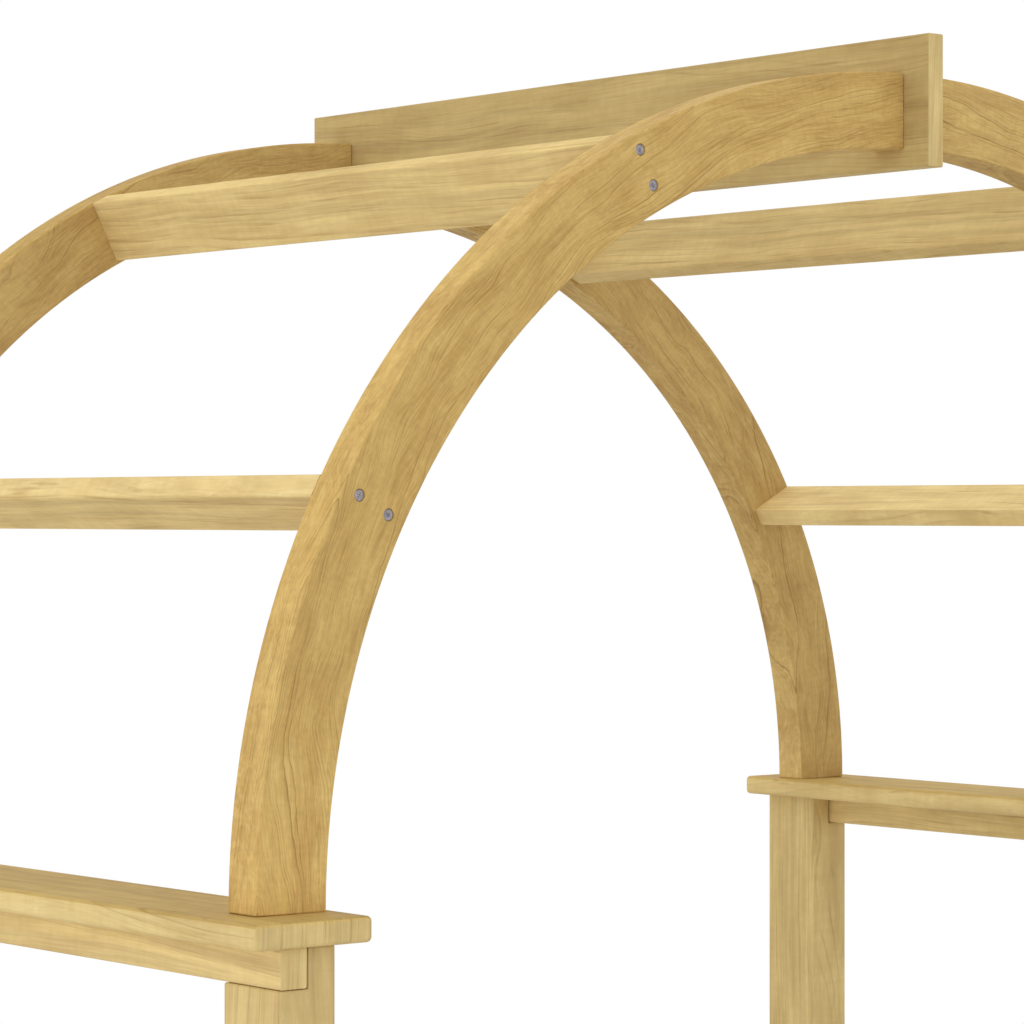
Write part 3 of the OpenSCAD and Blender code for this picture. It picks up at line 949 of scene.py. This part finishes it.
def screw_set(node, tree, kind, values):
    """The screws of one node."""
    piece = run_tree(node + "_steel", tree, {**values, "Form": screw_forms[kind], "Material": screw_steel})
    smooth_faces(piece, STEEL_SHARP)
    dress(piece, node)


# Arch: ribs, their screws, purlins and ridge

def rib(side, end, seed):
    """A rib with its screw holes, and the screws that hold its two purlins."""
    place = f"{end}_{side}"
    centre = Vector((SIDES[side] * arch_x, ENDS[end] * rib_mid_y, cap_top))
    piece = run_tree(f"rib_{place}_timber", curved_rib, {
        "Arch Centre": centre, "Start Angle": math.radians(0 if side == "right" else 90),
        "Middle Radius": rib_mid_r, "Width": RIB_WIDTH, "Thickness": rib_thickness,
        "Edge Radius": EDGE, "Edge Steps": EDGE_STEPS, "Arc Points": ARC_POINTS, "Material": arch_timber})
    eased = piece.modifiers.new("eased ends", "BEVEL")
    eased.width = RIB_END_EDGE
    eased.segments = RIB_END_STEPS
    eased.use_clamp_overlap = False
    eased.angle_limit = RIB_END_TURN
    bake_modifiers(piece)
    pairs = {
        "Arch Centre": centre + Vector((0, ENDS[end] * rib_thickness / 2, 0)), "Side": float(SIDES[side]),
        "Aim": Vector((0, -ENDS[end], 0)), "Seed": seed, "Middle Radius": rib_mid_r,
        "Pitch": PURLIN_SCREW_PITCH, "Lower Angle": PURLIN_ANGLES["lower"],
        "Upper Angle": PURLIN_ANGLES["upper"], "Upper Shift": UPPER_SCREW_OUT}
    cut_holes(piece, run_tree("rib_holes", arch_pairs, {**pairs, "Form": hole_forms["purlin"]}))
    smooth_faces(piece, TIMBER_SHARP)
    set_material(piece, arch_timber)
    shade_timber(piece, f"rib_{place}")
    dress(piece, f"rib_{place}")
    screw_set(f"purlin_screws_{place}", arch_pairs, "purlin", pairs)


for seed, (side, end) in enumerate((side, end) for side in SIDES for end in ENDS):
    rib(side, end, seed)
    post(side, end)

for side in SIDES:
    for level in PURLIN_ANGLES:
        purlin(side, level)

straight_board("ridge_board", UP, RIDGE_EDGE, END_EDGE)


# Side frames: rails, cap boards and their screws

def side_frame(side, seed):
    """The rails and the cap board of a side, with the screws that hold them."""
    sign = SIDES[side]
    outward = Vector((sign, 0, 0))
    foot = {"Side Place": Vector((sign * foot_screw_x, 0, post_high.z)), "End Y": rib_mid_y,
            "Pitch": CAP_SCREW_PITCH, "At Each End": 2, "Aim": UP, "Seed": seed}
    cap = {**foot, "Side Place": Vector((sign * tongue_mid_x, 0, cap_top)), "Aim": -UP}
    top = {"Side Place": Vector((sign * rail_mid_x, 0, post_high.z)), "End Y": post_mid_y,
           "Pitch": 0.0, "At Each End": 1, "Aim": -UP, "Seed": seed}
    lower = {"Side Place": Vector((sign * post_high.x, 0, (lower_rail_low.z + lower_rail_high.z) / 2)),
             "End Y": post_mid_y, "Pitch": LOWER_RAIL_SCREW_PITCH, "At Each End": 2,
             "Aim": -outward, "Seed": seed}
    foot_holes = run_tree("foot_holes", frame_pairs, {**foot, "Form": hole_forms["frame"]})
    lower_holes = run_tree("lower_rail_holes", frame_pairs, {**lower, "Form": hole_forms["lower_rail"]})
    straight_board(f"top_rail_{side}", UP, EDGE, END_EDGE)
    straight_board(f"lower_rail_{side}", UP, EDGE, END_EDGE, lower_holes)
    straight_board(f"cap_board_{side}", outward, CAP_EDGE, CAP_END_EDGE, foot_holes)
    screw_set(f"foot_screws_{side}", frame_pairs, "frame", foot)
    screw_set(f"cap_screws_{side}", frame_pairs, "frame", cap)
    screw_set(f"top_rail_screws_{side}", frame_pairs, "top_rail", top)
    screw_set(f"lower_rail_screws_{side}", frame_pairs, "lower_rail", lower)


for seed, side in enumerate(SIDES):
    side_frame(side, seed)

for form in (*screw_forms.values(), *hole_forms.values()):
    bpy.data.objects.remove(form)

for end in ENDS:
    set_material(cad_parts[f"ridge_dowels_{end}"], dowel_wood)


# Floor, backdrop and light

# The floor shows its own colour up to one distance from the middle, and looks white from another on
FLOOR_RADIUS = 4.0
FLOOR_CLEAR = 2.4
FLOOR_WHITE = FLOOR_RADIUS * 0.97
FLOOR_SIDES = 96
BACKDROP_STRENGTH = 0.92
LAMP_PLACE = (-5.0, 0.5, 1.5)
LAMP_TARGET = (0, 0, 1.3)
LAMP_SIZE = 3.0
LAMP_WATTS = 31
WHITE = (1, 1, 1, 1)


def seen_directly(tree):
    """1 where the camera, a gloss or a clear surface looks straight at something."""
    path = add_node(tree, "ShaderNodeLightPath").outputs
    share = calc(tree, "ADD", path["Is Camera Ray"], path["Is Glossy Ray"], clamp=True)
    return calc(tree, "ADD", share, path["Is Transmission Ray"], clamp=True)


def floor_material():
    """Pale floor that fades to the white of the backdrop away from the object."""
    material, tree, shader = new_material("pale_floor")
    place = add_node(tree, "ShaderNodeTexCoord").outputs["Object"]
    mottle = noise(tree, place, scale=6.0, detail=3.0)
    color = blend_colors(tree, mottle, srgb(222, 221, 219), srgb(228, 227, 226))
    tree.links.new(color, shader.inputs["Base Color"])
    shader.inputs["Roughness"].default_value = 0.8
    x, y, _ = separate(tree, place)
    away = ramp(tree, length_of(tree, x, y), FLOOR_CLEAR, FLOOR_WHITE)
    glow = add_node(tree, "ShaderNodeEmission", {"Color": WHITE, "Strength": 1.0})
    mixed = add_node(tree, "ShaderNodeMixShader", {
        0: calc(tree, "MULTIPLY", away, seen_directly(tree)), 1: shader.outputs[0], 2: glow.outputs[0]})
    tree.links.new(mixed.outputs[0], tree.nodes["Material Output"].inputs["Surface"])
    return material


def floor():
    form = bmesh.new()
    bmesh.ops.create_circle(form, cap_ends=True, segments=FLOOR_SIDES, radius=FLOOR_RADIUS)
    piece = object_from("floor", form)
    if piece.data.polygons[0].normal.z < 0:
        piece.data.flip_normals()
    piece.data.materials.append(floor_material())


def backdrop():
    """A surround that the camera sees as white, and that lights the object softly."""
    world = bpy.data.worlds.new("backdrop")
    world.use_nodes = True
    bpy.context.scene.world = world
    tree = world.node_tree
    soft = tree.nodes["Background"]
    soft.inputs["Color"].default_value = WHITE
    soft.inputs["Strength"].default_value = BACKDROP_STRENGTH
    white = add_node(tree, "ShaderNodeBackground", {"Color": WHITE, "Strength": 1.0})
    mixed = add_node(tree, "ShaderNodeMixShader", {
        0: seen_directly(tree), 1: soft.outputs[0], 2: white.outputs[0]})
    tree.links.new(mixed.outputs[0], tree.nodes["World Output"].inputs["Surface"])


def soft_lamp():
    """A square studio lamp on the left that faces the foot of the arch."""
    lamp_data = bpy.data.lights.new("left lamp", "AREA")
    lamp_data.size = LAMP_SIZE
    lamp_data.energy = LAMP_WATTS
    lamp = bpy.data.objects.new("left lamp", lamp_data)
    lamp.location = LAMP_PLACE
    lamp.rotation_euler = (Vector(LAMP_TARGET) - Vector(LAMP_PLACE)).to_track_quat("-Z", "Y").to_euler()
    bpy.context.scene.collection.objects.link(lamp)


floor()
backdrop()
soft_lamp()

bpy.context.scene.view_settings.view_transform = "Standard"
